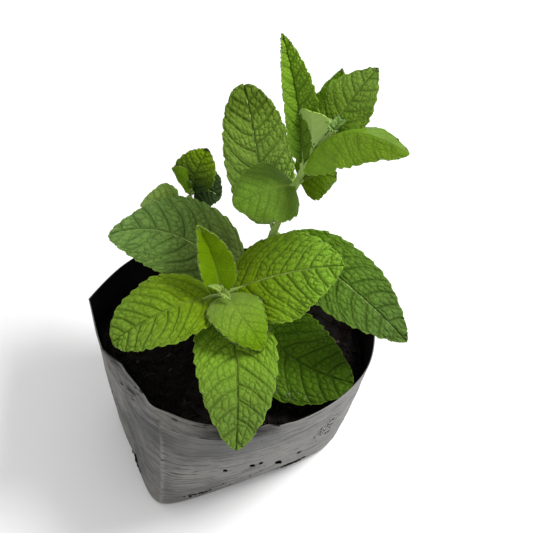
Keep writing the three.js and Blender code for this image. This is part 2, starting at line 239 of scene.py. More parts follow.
def film_outside():
    # Blown low-density polyethylene, black. Hazy grey dust and wear lie on it in level streaks, with
    # painted light and shade of its buckles and lip laid over them and dark lines of painted shade in its
    # creases; its gloss is a low satin.
    material, tree, surface = new_material("blown_polyethylene_film_hazed_painted_light")
    uv = add(tree, "UVMap", {}, uv_map="UVMap")
    # streaks 11 mm long and 0.9 mm high, and finer ones within them
    way = add(tree, "Mapping", {0: uv, "Scale": (90, 1100, 1)})
    streak = add(tree, "TexNoise", {"Vector": way, "Scale": 1, "Detail": 4, "Roughness": 0.6})
    way = add(tree, "Mapping", {0: uv, "Scale": (420, 2600, 1)})
    scratch = add(tree, "TexNoise", {"Vector": way, "Scale": 1, "Detail": 3, "Roughness": 0.7})
    dust_and_painted_light = add(tree, "Mix", {0: 0.4, 2: streak, 3: scratch})
    # painted light and shade of the buckles, the lip and the lit right side, added to the dust
    crease = add(tree, "Attribute", {}, "Fac", attribute_name="crease")
    dust_and_painted_light = add(tree, "Math", {0: dust_and_painted_light, 1: crease}, operation="ADD")
    share = add(tree, "MapRange", {0: dust_and_painted_light, 1: 0.36, 2: 0.66})
    colour = add(tree, "Mix", {0: share, 6: linear("#1b1b1a"), 7: linear("#787774")}, 2, data_type="RGBA")
    # patches of more and less dust, 25 mm across
    dust = add(tree, "TexNoise", {"Vector": uv, "Scale": 40, "Detail": 2})
    dust = add(tree, "MapRange", {0: dust, 1: 0.4, 2: 0.75, 3: 0.0, 4: 0.5})
    colour = add(tree, "Mix", {0: dust, 6: colour, 7: linear("#88847b")}, 2, data_type="RGBA")
    # painted shade: dark lens-shaped lines in the creases of the buckles, 16 mm long in a first set and 7 mm
    # in a second
    for scale, low, dark in (((62, 760, 1), 0.57, "#20201f"), ((150, 900, 1), 0.59, "#141413")):
        way = add(tree, "Mapping", {0: uv, "Scale": scale})
        line = add(tree, "TexNoise", {"Vector": way, "Scale": 1, "Detail": 2})
        line = add(tree, "MapRange", {0: line, 1: low, 2: low + 0.07})
        colour = add(tree, "Mix", {0: line, 6: colour, 7: linear(dark)}, 2, data_type="RGBA")
    # crumbs of mud, about 1 mm across, stick where the mud's own weight is high
    grit = add(tree, "TexNoise", {"Vector": uv, "Scale": 900, "Detail": 2})
    mud = add(tree, "Attribute", {}, "Fac", attribute_name="mud")
    mud = add(tree, "Math", {0: mud, 1: grit}, operation="MULTIPLY")
    mud = add(tree, "MapRange", {0: mud, 1: 0.3, 2: 0.4})
    colour = add(tree, "Mix", {0: mud, 6: colour, 7: linear("#15110d")}, 2, data_type="RGBA")
    rough = add(tree, "MapRange", {0: dust_and_painted_light, 1: 0.3, 2: 0.7, 3: 0.4, 4: 0.6})
    bump = add(tree, "Bump", {"Height": dust_and_painted_light, "Strength": 0.4, "Distance": 0.0004})
    feed(tree, surface, {"Base Color": colour, "Roughness": rough, "Normal": bump, "IOR": 1.51,
                         "Specular IOR Level": 0.4})
    return material


def film_inside():
    # The same film where no dust settles: nearly black, with the film's faint level draw lines, 11 mm long.
    material, tree, surface = new_material("blown_polyethylene_film_black")
    uv = add(tree, "UVMap", {}, uv_map="UVMap")
    way = add(tree, "Mapping", {0: uv, "Scale": (90, 700, 1)})
    line = add(tree, "TexNoise", {"Vector": way, "Scale": 1, "Detail": 3})
    colour = add(tree, "Mix", {0: line, 6: linear("#040404"), 7: linear("#0c0c0c")}, 2, data_type="RGBA")
    rough = add(tree, "MapRange", {0: line, 3: 0.5, 4: 0.7})
    feed(tree, surface, {"Base Color": colour, "Roughness": rough, "IOR": 1.51, "Specular IOR Level": 0.15})
    return material


def ramp(value, low, high):
    """Rises smoothly from 0 at low to 1 at high."""
    share = np.clip((value - low) / (high - low), 0, 1)
    return share * share * (3 - 2 * share)


def bag_buckles(angle, rise, z):
    """How far the film stands out from its plain form, and how much lighter or darker it is there."""
    girth = angle * WALL_REACH
    degrees = np.degrees(angle) % 360
    fine = 0.13 * wander(girth / 15, z / 1.5)
    middle = 0.26 * wander(girth / 22, z / 5.5, 4)
    slow = 0.45 * wander(girth / 26, z / 24, 9)
    out = fine + middle + slow * np.sin(np.pi * rise)
    # painted light and shade: the front and right are lighter and the back and left darker, as the lamp
    # stands at the right; the front is also lighter low down, and darker high up below the lip at the left
    right_end = ramp(degrees, 360, 330)
    light = 0.08 * ramp(degrees, 250, 300) * right_end
    light += 0.07 * ramp(z, 26, 8) * ramp(degrees, 236, 262) * right_end
    light -= 0.08 * ramp(degrees, 235, 222) * ramp(degrees, 0, 60)
    light -= 0.18 * hump(angle, 240, 0.38) * ramp(z, 44, 62)
    # the gusset creases run up from the pointed corners of the bottom
    for corner_at, lean, height in ((225, -6, 0.7), (315, 4, 0.45), (45, -4, 0.4), (135, 8, 0.5)):
        line = np.exp(-(away(angle, corner_at + lean * rise) * WALL_REACH / 0.7) ** 2)
        fade = ramp(rise, 1.02, 0.75)
        out += height * line * fade
        light += 0.2 * line * fade
    # folds drawn from the rim at the left down to the front corner, with painted light on their ridges and
    # painted shade between them
    slant = away(angle, 186) * 46 + (z - 34) * 0.62
    reach = np.exp(-(away(angle, 192) / 0.36) ** 2) * np.exp(-((rise - 0.5) / 0.36) ** 2)
    folds = np.sin(slant / 2.6 + 1.2 * np.sin(z / 13))
    out += 0.9 * reach * (1 - np.abs(folds) ** 0.6)
    light += 0.2 * reach * (0.4 - np.abs(folds))
    # from the left round to the front the lip leans inward over a kink; the band above the kink has painted
    # light on it, and a painted shadow line runs below the kink
    under = rim_height(angle) - z
    lean = 4.4 * ramp(degrees, 172, 186) * ramp(degrees, 274, 250) - 2.0 * hump(angle, 211, 0.12)
    kink = 4.0 + 4.5 * hump(angle, 209, 0.18)
    bent = ramp(degrees, 176, 188) * ramp(degrees, 246, 228)
    out -= lean * np.clip(1 - under / kink, 0, 1) ** 1.15
    light += bent * (0.12 * ramp(under, kink, kink - 1) + 0.2 * np.exp(-((under - kink) / 0.4) ** 2))
    light -= bent * 0.3 * np.exp(-((under - kink - 1.3) / 0.6) ** 2)
    # a painted highlight along the rim's edge
    light += 0.15 * np.exp(-(under / 0.35) ** 2)
    # the rim is pressed down in small waves where the long leaf hangs over it, and painted darker there with
    # the leaf's shade
    crumple = hump(angle, 262, 0.14) * np.exp(-(under / 3.5) ** 2)
    out += 0.5 * crumple * np.sin(girth * 0.9 + 0.6 * z)
    light -= 0.2 * crumple
    # the soil's weight presses the film plain at its foot
    return out * np.clip(z / PRESSED, 0, 1), light


def draw_to_holes(angle, height):
    """Draws the sheet's points to the cut edge of each drain hole, and tells which of them are cut out."""
    degrees = np.degrees(angle) % 360
    cut_out = np.zeros(len(angle), bool)
    for direction, at, radius in DRAIN_HOLES:
        dx = (((degrees - direction + 180) % 360) - 180) * math.radians(1) * HOLE_REACH
        dz = height - at
        far = np.hypot(dx + dz * HOLE_SLANT, dz / HOLE_STRETCH) + 1e-9
        cut_out |= far < radius * CUT_OUT
        ring = (far >= radius * CUT_OUT) & (far < radius * DRAWN)
        pull = np.where(ring, radius / far, 1.0)
        angle = angle + np.where(ring, dx * (pull - 1) / HOLE_REACH, 0)
        height = height + np.where(ring, dz * (pull - 1), 0)
    return angle, height, cut_out


def mud_weight(angle, z):
    """How thickly mud sticks to the film: in patches, and along the floor."""
    weight = 0.45 * np.exp(-(z / 1.6) ** 2)
    for most, direction, wide, at, high in MUD_PATCHES:
        aside = np.degrees(away(angle, direction)) / wide
        weight += most * np.exp(-aside ** 2) * np.exp(-((z - at) / high) ** 2)
    return weight


def make_bag():
    mesh, across, up = flat_sheet("nursery_bag", BAG_COLUMNS, BAG_ROWS)
    # the sheet meets itself at the weld
    angle = 2 * np.pi * across + math.radians(SEAM_CORNER)
    angle = (angle - CROWDING * np.sin(angle - math.radians(FRONT))
             - CROWDING * math.sin(math.radians(FRONT - SEAM_CORNER)))
    lay_uv(mesh, angle * RIM_REACH, up * FILM_HEIGHT)
    on_wall = up > BOTTOM_SHARE
    level = np.clip((up - BOTTOM_SHARE) / (1 - BOTTOM_SHARE), 0, 1)
    angle, height, cut_out = draw_to_holes(angle, level * BAG_HEIGHT)
    rise = height / BAG_HEIGHT
    z = np.where(on_wall, BASE_ROLL * (1 - rise) * 0.4 + rise * rim_height(angle), 0.0)
    x, y, nx, ny = film_face(angle, z)
    out, light = bag_buckles(angle, rise, z)
    # the wall rolls under at the floor, and the rest of the bottom is flat
    roll = BASE_ROLL * (1 - np.sqrt(np.clip(1 - (1 - np.clip(z / BASE_ROLL, 0, 1)) ** 2, 0, 1)))
    out -= np.where(on_wall, roll, BASE_ROLL)
    x, y = drawn_in(x + nx * out, y + ny * out, np.clip(up / BOTTOM_SHARE, 0, 1), ~on_wall)
    set_points(mesh, np.stack([x, y, z], 1))
    lay_values(mesh, crease=light, mud=mud_weight(angle, z))
    close_seams(mesh, cut_out)
    thicken(finished(mesh, [film_outside(), film_inside()], "bag_film", "polybag"), FILM)


make_bag()

# ---- the potting soil -------------------------------------
# Dark peat mix, moist, heaped a little round the stems. Its crumbs lie loose on top, with brown threads
# of coir and bits of bark among them.
SOIL_TOP, SOIL_MOUND = 57.0, 3.0
SOIL_SIDE = (SOIL_TOP - 2) / BAG_HEIGHT  # how far up the film its side reaches
SOIL_INSET = 1.1  # from the bag's outer face
SOIL_COLUMNS, SOIL_ROWS = 260, 120
SIDE_SHARE = 0.18  # of the rows lie at the bottom and side
THREAD_STEPS = 6
CRUMBS, THREADS, CHIPS = 1500, 130, 60
TURN = 6.3  # a whole turn in radians, near enough for a turn by chance


def soil_height(x, y):
    mound = SOIL_MOUND * np.exp(-((x - 4) ** 2 + (y - 12) ** 2) / 900)
    lumps = (0.9 * np.sin(0.31 * x + 0.9) * np.cos(0.27 * y - 0.4)
             + 0.6 * np.sin(0.63 * x - 0.52 * y + 2) + 0.4 * np.cos(0.95 * x + 0.8 * y))
    grain = 0.7 * wander(x / 4.2, y / 4.2) + 0.45 * wander(x / 1.7, y / 1.7, 3)
    return SOIL_TOP + mound + lumps + grain


def soil_edge(angle, rise):
    """The soil's side, which follows the inside of the film."""
    x, y, nx, ny = film_face(angle, rise * BAG_HEIGHT)
    return x - nx * SOIL_INSET, y - ny * SOIL_INSET


def peat():
    # Potting mix of milled peat and coir: almost black when moist, dull, with brown flecks.
    material, tree, surface = new_material("moist_peat_mix")
    place = add(tree, "TexCoord", {}, "Object")
    # crumbs about 1.5 mm across, flecks of fibre 0.5 mm wide, and patches of 11 mm
    crumb = add(tree, "TexVoronoi", {"Vector": place, "Scale": 650}, "Distance")
    fleck = add(tree, "TexNoise", {"Vector": place, "Scale": 1500, "Detail": 3})
    patch = add(tree, "TexNoise", {"Vector": place, "Scale": 90, "Detail": 3})
    both = add(tree, "Mix", {0: 0.5, 2: crumb, 3: patch})
    colour = add(tree, "Mix", {0: both, 6: linear("#050403"), 7: linear("#120e0b")}, 2, data_type="RGBA")
    brown = add(tree, "MapRange", {0: fleck, 1: 0.62, 2: 0.74})
    colour = add(tree, "Mix", {0: brown, 6: colour, 7: linear("#2e2218")}, 2, data_type="RGBA")
    rough = add(tree, "MapRange", {0: fleck, 3: 0.75, 4: 1.0})
    bump = add(tree, "Bump", {"Height": crumb, "Strength": 0.7, "Distance": 0.0006})
    feed(tree, surface, {"Base Color": colour, "Roughness": rough, "Normal": bump,
                         "Specular IOR Level": 0.12})
    return material


def coir():
    # Coconut fibre: dull tan threads, darker where they are wet.
    material, tree, surface = new_material("coir_fibre")
    place = add(tree, "TexCoord", {}, "Object")
    # wet spots 6 mm across, and a grain of 0.4 mm
    wet = add(tree, "TexNoise", {"Vector": place, "Scale": 160, "Detail": 2})
    wet = add(tree, "MapRange", {0: wet, 1: 0.4, 2: 0.65})
    colour = add(tree, "Mix", {0: wet, 6: linear("#0f0b08"), 7: linear("#43342a")}, 2, data_type="RGBA")
    grain = add(tree, "TexNoise", {"Vector": place, "Scale": 2500})
    rough = add(tree, "MapRange", {0: grain, 3: 0.7, 4: 0.95})
    feed(tree, surface, {"Base Color": colour, "Roughness": rough, "Specular IOR Level": 0.2})
    return material


def make_soil():
    mesh, across, up = flat_sheet("soil_body", SOIL_COLUMNS, SOIL_ROWS)
    angle = 2 * np.pi * across
    # the first half of these rows lies on the bag's bottom, and the second runs up its wall
    side = np.clip(up / SIDE_SHARE, 0, 1)
    rise = np.clip(side * 2 - 1, 0.02, 1) * SOIL_SIDE
    low = side < 0.5
    x, y = drawn_in(*soil_edge(angle, rise), np.clip(side * 2, 0, 1) * 0.97, low)
    z = np.where(low, 1.1, rise * BAG_HEIGHT + 0.6)
    top = np.clip((up - SIDE_SHARE) / (1 - SIDE_SHARE), 0, 1)
    x, y = x * (1 - top), y * (1 - top)
    settle = np.clip(top / 0.06, 0, 1)
    z = np.where(up > SIDE_SHARE, z * (1 - settle) + soil_height(x, y) * settle, z)
    set_points(mesh, np.stack([x, y, z], 1))
    close_seams(mesh)
    finished(mesh, [peat()], "potting_soil", "potting_soil")


def unit(vectors):
    return vectors / np.linalg.norm(vectors, axis=1)[:, None]


def soil_spot(draw, reach):
    """A random place on the soil's top."""
    angle, share = draw.uniform(0, 2 * math.pi), math.sqrt(draw.random()) * reach
    x, y = soil_edge(np.array([angle]), np.array([SOIL_SIDE]))
    x, y = x * share, y * share
    return float(x[0]), float(y[0]), float(soil_height(x, y)[0])


def lay_lump(heap, place, turned, size, fineness=1):
    """Adds a small ball, squashed to a radius each way, and gives back its points."""
    matrix = Matrix.Translation(Vector(place) * MM) @ turned @ Matrix.Diagonal(Vector(size) * MM).to_4x4()
    return bmesh.ops.create_icosphere(heap, subdivisions=fineness, radius=1, matrix=matrix)["verts"]


def make_crumbs():
    draw = random.Random(11)
    heap = bmesh.new()
    for _ in range(CRUMBS):
        x, y, z = soil_spot(draw, 0.97)
        size = 0.35 + 1.15 * draw.random() ** 3
        radii = (size * draw.uniform(0.7, 1.3), size * draw.uniform(0.7, 1.3), size * 0.75)
        turned = Matrix.Rotation(draw.uniform(0, TURN), 4, "Z")
        for vert in lay_lump(heap, (x, y, z + size * 0.35), turned, radii):
            vert.co += Vector([draw.uniform(-0.22, 0.22) * size * MM for _ in range(3)])
    finished(as_mesh(heap, "soil_crumbs"), [bpy.data.materials["moist_peat_mix"]], "potting_soil")


def strand(path, radius, sides, name):
    """A thin round solid along a path of points, closed to a point at both ends."""
    rows = len(path) - 1
    mesh, around, along = flat_sheet(name, sides, rows)
    row = np.rint(along * rows).astype(int)
    ahead = unit(np.gradient(path, axis=0))
    side = np.zeros_like(path)
    side[0] = np.cross(ahead[0], [0.0, 0.0, 1.0] if abs(ahead[0][2]) < 0.9 else [1.0, 0.0, 0.0])
    for k in range(1, len(path)):
        side[k] = side[k - 1] - ahead[k] * side[k - 1].dot(ahead[k])
    side = unit(side)
    over = np.cross(ahead, side)
    turned = 2 * np.pi * around
    size = np.where((row == 0) | (row == rows), 0.0, radius(along, turned))
    set_points(mesh, path[row] + side[row] * (np.cos(turned) * size)[:, None]
               + over[row] * (np.sin(turned) * size)[:, None])
    close_seams(mesh)
    return mesh


def join_meshes(name, meshes):
    """One mesh of several, in their order."""
    whole = bmesh.new()
    whole.loops.layers.uv.new("UVMap")
    for mesh in meshes:
        whole.from_mesh(mesh)
        bpy.data.meshes.remove(mesh)
    return as_mesh(whole, name)


def make_threads():
    draw = random.Random(23)
    threads = []
    for _ in range(THREADS):
        x, y = soil_spot(draw, 0.93)[:2]
        heading, turn = draw.uniform(0, TURN), draw.uniform(-0.16, 0.16)
        length, thick, high = draw.uniform(3, 9), draw.uniform(0.08, 0.17), draw.uniform(0.2, 0.8)
        path = []
        for k in range(THREAD_STEPS + 1):
            ground = float(soil_height(np.array([x]), np.array([y]))[0])
            path.append([x, y, ground + 0.3 + high * math.sin(math.pi * k / THREAD_STEPS)])
            heading += turn
            x += math.cos(heading) * length / THREAD_STEPS
            y += math.sin(heading) * length / THREAD_STEPS
        threads.append(strand(np.array(path), lambda along, turned: thick * (1.2 - along), 5, "thread"))
    finished(join_meshes("soil_fibres", threads), [coir()], "potting_soil")


def make_chips():
    draw = random.Random(5)
    chips = bmesh.new()
    for _ in range(CHIPS):
        x, y, z = soil_spot(draw, 0.92)
        size = Vector((draw.uniform(1.5, 3.6), draw.uniform(0.6, 1.5), draw.uniform(0.3, 0.6))) * MM
        turned, tilt = draw.uniform(0, TURN), draw.uniform(-0.4, 0.4)
        matrix = (Matrix.Translation(Vector((x, y, z + 0.3)) * MM) @ Matrix.Rotation(turned, 4, "Z")
                  @ Matrix.Rotation(tilt, 4, "X") @ Matrix.Diagonal(size).to_4x4())
        for vert in bmesh.ops.create_cube(chips, size=1, matrix=matrix)["verts"]:
            vert.co += Vector([draw.uniform(-0.25, 0.25) * MM for _ in range(3)])
    bmesh.ops.bevel(chips, geom=chips.edges[:], offset=0.12 * MM, segments=1, affect="EDGES",
                    profile=0.5, material=-1)
    finished(as_mesh(chips, "bark_bits"), [bpy.data.materials["coir_fibre"]], "potting_soil")


# clusters of wet crumbs stuck to the film: direction, height, spread both ways, number and size
SPLASHES = [(298, 42, 5, 13, 70, 0.3), (294, 4, 6, 2, 80, 0.7), (241, 9, 6, 1.6, 50, 0.5),
            (196, 6, 5, 5, 50, 0.7), (262, 18, 14, 8, 14, 0.3)]


def film_spot(direction, height):
    """A place on the buckled film, and the film's outward direction over the floor."""
    angle, z = np.array([math.radians(direction)]), np.array([height])
    x, y, nx, ny = film_face(angle, z)
    out = bag_buckles(angle, z / BAG_HEIGHT, z)[0]
    return (float((x + nx * out)[0]), float((y + ny * out)[0]), height), (float(nx[0]), float(ny[0]))


def facing(direction):
    """The turn that brings a shape's Z axis round to a direction."""
    return Vector(direction).to_track_quat("Z", "Y").to_matrix().to_4x4()


def make_splashes():
    draw = random.Random(31)
    stuck = bmesh.new()
    for direction, height, wide, high, number, size in SPLASHES:
        for _ in range(number):
            aside, at = draw.gauss(direction, wide * 0.5), draw.gauss(height, high * 0.5)
            place, (nx, ny) = film_spot(aside, max(at, 1.5))
            radius = size * (0.4 + 1.2 * draw.random() ** 2)
            radii = (radius * draw.uniform(0.7, 1.4), radius, radius * 0.5)
            lay_lump(stuck, place, facing((nx, ny, 0)), radii)
    finished(as_mesh(stuck, "splashed_soil"), [bpy.data.materials["moist_peat_mix"]], "potting_soil")


make_soil()
make_crumbs()
make_threads()
make_chips()
make_splashes()

# ---- the stems --------------------------------------------
# Each shoot is a rooted cutting with the square, grooved stem of mint, a little swollen where a pair of
# leaves grows. It is juicy and pale green, and it carries short soft hairs.
STEMS = {
    "front": {"path": [(0, 9, 22), (0, 8, 60), (-1, 5, 78), (-2, 2, 89), (-5, -4, 97), (-6.5, -7.5, 102),
                       (-7, -9, 105)], "thick": (3.0, 2.0)},
    "tall": {"path": [(8, 14, 22), (9, 13, 55), (12, 12, 73), (17, 12, 89), (23, 12, 105), (31, 10, 130),
                      (33, 9, 137), (40, 8, 149), (44, 7, 156)], "thick": (3.2, 2.1)},
    "back": {"path": [(-9, 30, 22), (-7, 35, 58), (-4, 43, 72), (-2, 50, 85), (2, 53, 95)],
             "thick": (2.8, 2.0)},
}
STEM_STEPS = 12  # between two points of a path
STEM_SIDES = 24


def smooth_path(corners):
    """A smooth line through points: a Catmull-Rom curve with equal steps between each two."""
    p = np.array(corners, float)
    p = np.vstack([2 * p[0] - p[1], p, 2 * p[-1] - p[-2]])
    line = []
    for k in range(1, len(p) - 2):
        for t in np.arange(STEM_STEPS) / STEM_STEPS:
            line.append(0.5 * (2 * p[k] + (p[k + 1] - p[k - 1]) * t
                               + (2 * p[k - 1] - 5 * p[k] + 4 * p[k + 1] - p[k + 2]) * t ** 2
                               + (3 * p[k] - p[k - 1] - 3 * p[k + 1] + p[k + 2]) * t ** 3))
    return np.array(line + [p[-2]])


def stem_skin():
    # Living mint stem: pale yellow-green, flushed darker along its grooves, finely ribbed lengthways.
    material, tree, surface = new_material("mint_stem")
    place = add(tree, "TexCoord", {}, "Object")
    # ribs 0.3 mm apart run up the stem, so the pattern is stretched along Z; the flush comes in 9 mm patches
    way = add(tree, "Mapping", {0: place, "Scale": (3200, 3200, 260)})
    rib = add(tree, "TexNoise", {"Vector": way, "Scale": 1, "Detail": 3})
    patch = add(tree, "TexNoise", {"Vector": place, "Scale": 110, "Detail": 2})
    share = add(tree, "Mix", {0: 0.45, 2: rib, 3: patch})
    share = add(tree, "MapRange", {0: share, 1: 0.35, 2: 0.65})
    colour = add(tree, "Mix", {0: share, 6: linear("#6d8f35"), 7: linear("#a9c06c")}, 2, data_type="RGBA")
    rough = add(tree, "MapRange", {0: rib, 3: 0.4, 4: 0.6})
    bump = add(tree, "Bump", {"Height": rib, "Strength": 0.3, "Distance": 0.0002})
    feed(tree, surface, {"Base Color": colour, "Roughness": rough, "Normal": bump, "Specular IOR Level": 0.3,
                         "Subsurface Weight": 0.15, "Subsurface Radius": (0.4, 0.8, 0.15),
                         "Subsurface Scale": 0.0008})
    return material


def stem_mesh(stem):
    """A square, grooved stem along its path, thicker at its foot and swollen where leaves grow."""
    path = smooth_path(stem["path"])
    low, high = stem["thick"]
    rows = len(path) - 1

    def radius(along, turned):
        here = path[np.rint(along * rows).astype(int)]
        knots = sum(np.exp(-(np.linalg.norm(here - knot, axis=1) / 1.8) ** 2) for knot in stem["path"][2:])
        size = 0.5 * (low + (high - low) * along) * (1 + 0.22 * np.minimum(knots, 1))
        return size * (1.0 + 0.13 * np.cos(4 * turned) - 0.03 * np.cos(8 * turned))

    return strand(path, radius, STEM_SIDES, "stem")


# ---- the leaves -------------------------------------------
# Mint leaves grow in crossed pairs. The blade is quilted: it swells between a sunken net of veins, and
# its edge has small teeth that point forward. Young leaves are yellow-green and smoother.
BLADE = 0.42  # thickness
SPACING = 0.3  # between the points of a blade, fine enough for its veins
DRIED = "#1c1410"
TOOTH, TOOTH_PEAK, TOOTH_LEAN = 1.1, 0.78, 1.1  # its depth, where along it the point is, and its lean


@dataclass
class Leaf:
    at: tuple  # where it leaves the stem
    turned: float  # direction of its chord, from the stem to the tip, over the floor
    rise: float  # of the chord from the level
    reach: float  # length of the chord
    width: float
    teeth: int  # along each edge
    quilt: float  # how far the blade swells between its veins
    pairs: int  # of side veins
    tones: tuple  # its colours, from the stalk to the tip
    arch: float = 0  # of the midrib above its chord
    nod: float = 0  # how far its tip droops further
    bow: float = 0  # of the midrib to the left of its chord
    roll: float = 0  # of the blade about its midrib
    fold: float = 12  # of each half up from the midrib
    curl: float = 0.1  # of the edges down
    stalk: float = 4  # length of the bare stalk
    form: tuple = (0.55, 0.75)  # how bluntly it widens at its base and narrows at its tip, lower is blunter
    soft: float = 0.3  # how far its veins fade near the stalk
    faint: float = 0  # how far they fade all over
    dry: float = 1  # where its tip is dried up, 1 for nowhere


LEAVES = {
    "front": [
        Leaf((-6.5, -7.5, 102), 102, 60, 29.5, 17, teeth=6, quilt=0.3, pairs=5,
             tones=("#567500", "#547000"), arch=-2, bow=-2.5, roll=-10, fold=34, stalk=0.5,
             form=(0.4, 0.8), faint=0.6),
        Leaf((-6.5, -7.5, 102), -74, -14, 27, 22, teeth=7, quilt=0.5, pairs=6,
             tones=("#627c2c", "#527201"), arch=6, bow=-1, roll=-4, fold=5, curl=0.2, stalk=1,
             form=(0.4, 0.7), soft=0.9, faint=0.3),
        Leaf((-5, -4, 97), -174, -2, 45, 33, teeth=9, quilt=1.1, pairs=8, tones=("#5b7601", "#577320"),
             arch=5, fold=10, form=(0.35, 0.5), soft=0.5),
        Leaf((-5, -4, 97), -22, 21, 49, 39, teeth=10, quilt=1.2, pairs=8, tones=("#577100", "#658926"),
             arch=1, bow=2.5, roll=12, fold=-3),
        Leaf((-2, 2, 89), -107, -4, 67, 32, teeth=10, quilt=1.1, pairs=9, tones=("#6d921c", "#4e6725"),
             arch=6, bow=2.5, fold=10, form=(0.5, 0.65), soft=0.5),
        Leaf((-1, 5, 78), 165, -25, 22, 15, teeth=5, quilt=0.6, pairs=5, tones=("#4c6a1c", "#4c6a1c"),
             arch=2),
    ],
    "tall": [
        # painted shade: the tip tone is dark for the shade that the leaves above cast on this leaf
        Leaf((12, 12, 73), -68, -4, 59.5, 38, teeth=10, quilt=1.1, pairs=8, tones=("#598018", "#2f4a07"),
             arch=-1, bow=-9, roll=12, fold=3, form=(0.55, 0.6)),
        # painted shade: the stalk tone is dark for the shade lying on this leaf's base
        Leaf((12, 12, 73), 137, 12, 64, 38, teeth=11, quilt=1.5, pairs=9, tones=("#475925", "#698b41"),
             arch=18, nod=4, bow=2, roll=-12, fold=6, soft=0.6),
        Leaf((23, 12, 105), 84, 50, 58, 28, teeth=10, quilt=1.4, pairs=9, tones=("#7e9f42", "#465c16"),
             arch=3, nod=6, bow=1.5, form=(0.42, 0.5)),
        Leaf((23, 12, 105), -60, -16, 67, 30, teeth=11, quilt=1.3, pairs=9, tones=("#476810", "#405a23"),
             arch=6, bow=-1, roll=10, fold=6),
        Leaf((31, 10, 130), 186, 3, 26, 27, teeth=7, quilt=0.5, pairs=6, tones=("#4f6d1e", "#4d6b1c"),
             arch=3, bow=0.5, roll=-14, fold=0, curl=0.2, stalk=1, form=(0.3, 0.6), soft=0.8, faint=0.4),
        Leaf((31, 10, 130), -14, 5, 15.5, 20, teeth=6, quilt=0.6, pairs=5, tones=("#425c00", "#3e5900"),
             arch=3, roll=28, stalk=2, form=(0.3, 0.7), faint=0.2),
        Leaf((33, 9, 137), 87, 62, 51, 17, teeth=10, quilt=0.9, pairs=9, tones=("#4d6c1b", "#60821c"),
             arch=3, bow=-1, fold=38, form=(0.47, 0.75), faint=0.1),
        Leaf((33, 9, 137), -49, 34, 47, 27.7, teeth=9, quilt=0.5, pairs=8, tones=("#6c9123", "#547117"),
             arch=11.3, nod=0.6, bow=2.6, roll=4, fold=-32, curl=0, stalk=1, form=(0.51, 0.65), soft=0.5,
             faint=0.4),
        Leaf((40, 8, 149), 18, 40, 33.5, 22, teeth=7, quilt=0.6, pairs=6, tones=("#516e19", "#546f26"),
             arch=2, roll=12, form=(0.55, 0.9), faint=0.1),
        Leaf((36, 8, 143), 76, 79.5, 20, 13.5, teeth=5, quilt=0.25, pairs=5, tones=("#a4c565", "#9fbe50"),
             arch=-1, bow=-0.7, roll=141, fold=18, stalk=3, form=(1.25, 0.42), soft=0.9, faint=0.7),
        Leaf((40, 8, 149), 47, 45, 28, 15.5, teeth=5, quilt=0.5, pairs=4, tones=("#365501", "#325101"),
             roll=20, fold=5, stalk=2, form=(0.55, 0.95), faint=0.4),
        Leaf((36, 8, 143), 66, 48, 25, 9, teeth=4, quilt=0.4, pairs=4, tones=("#4a6d14", "#557a20"),
             fold=10, stalk=2, faint=0.5),
    ],
    "back": [
        # painted shade: the stalk tone is dark for the shadow on the lower half of this leaf
        Leaf((2, 53, 95), 32, 50, 20.5, 21, teeth=6, quilt=0.9, pairs=5, tones=("#233816", "#607c0a"),
             arch=2, stalk=2, dry=0.93),
        Leaf((-2, 50, 85), 138, 5, 20, 18, teeth=6, quilt=0.8, pairs=5, tones=("#728f3c", "#7c9a44"),
             arch=7),
        # painted shade: this small leaf is toned dark for the shadow on the lower half of the first leaf
        Leaf((2, 53, 95), -30, 0, 13, 22, teeth=5, quilt=1.1, pairs=5, tones=("#172a14", "#1a2d16"),
             arch=4, roll=14, curl=0.2, stalk=2),
        Leaf((2, 53, 95), 150, 65, 16, 11, teeth=4, quilt=0.4, pairs=4, tones=("#5c7c12", "#54740e"),
             arch=1, fold=20, stalk=2, faint=0.4),
    ],
}


def compass(leaf):
    """The leaf's forward, left and up directions, along its chord."""
    a, r = math.radians(leaf.turned), math.radians(leaf.rise)
    along = np.array([math.cos(r) * math.cos(a), math.cos(r) * math.sin(a), math.sin(r)])
    left = np.array([-math.sin(a), math.cos(a), 0.0])
    return along, left, np.cross(along, left)


def blade_length(leaf):
    return leaf.reach - leaf.stalk


def midrib(leaf, t):
    """Points of the midrib, t from 0 at the stem to 1 at the tip."""
    along, left, up = compass(leaf)
    t = np.asarray(t, float)[:, None]
    swell = 4 * t * (1 - t)
    end = np.maximum(0, (t - 0.55) / 0.45)
    return (np.array(leaf.at, float) + along * leaf.reach * t
            + up * (leaf.arch * swell - leaf.nod * end ** 2) + left * leaf.bow * swell)


def half_width(leaf, s):
    """Half the blade's width, s from 0 at its base to 1 at its tip."""
    p, q = leaf.form
    peak = p / (p + q)
    s = np.clip(s, 0, 1)
    return np.maximum(leaf.width / 2 * (s / peak) ** p * ((1 - s) / (1 - peak)) ** q, 0.12)


def blade_points(leaf, s, v, inset=0.0):
    """The blade's plain surface, v from -1 at its right edge to 1 at its left one."""
    stalk = leaf.stalk / leaf.reach
    t = stalk + (1 - stalk) * s
    along = unit(midrib(leaf, t + 1e-3) - midrib(leaf, t - 1e-3))
    flat = compass(leaf)[1]
    side = unit(flat - along * (along @ flat)[:, None])
    up = np.cross(along, side)
    roll, fold = math.radians(leaf.roll), math.radians(leaf.fold)
    left = side * math.cos(roll) + up * math.sin(roll)
    top = up * math.cos(roll) - side * math.sin(roll)
    half = half_width(leaf, s)
    across = v * np.maximum(half - inset, 0.1)
    wave = (0.022 * leaf.width * v * v * np.sin(np.pi * s)
            * np.sin(np.pi * (4.5 * s + np.where(v > 0, 0.6, 0.0)) + leaf.turned))
    lift = np.abs(across) * math.sin(fold) - leaf.curl * v * v * half + wave
    return midrib(leaf, t) + left * (math.cos(fold) * across)[:, None] + top * lift[:, None]


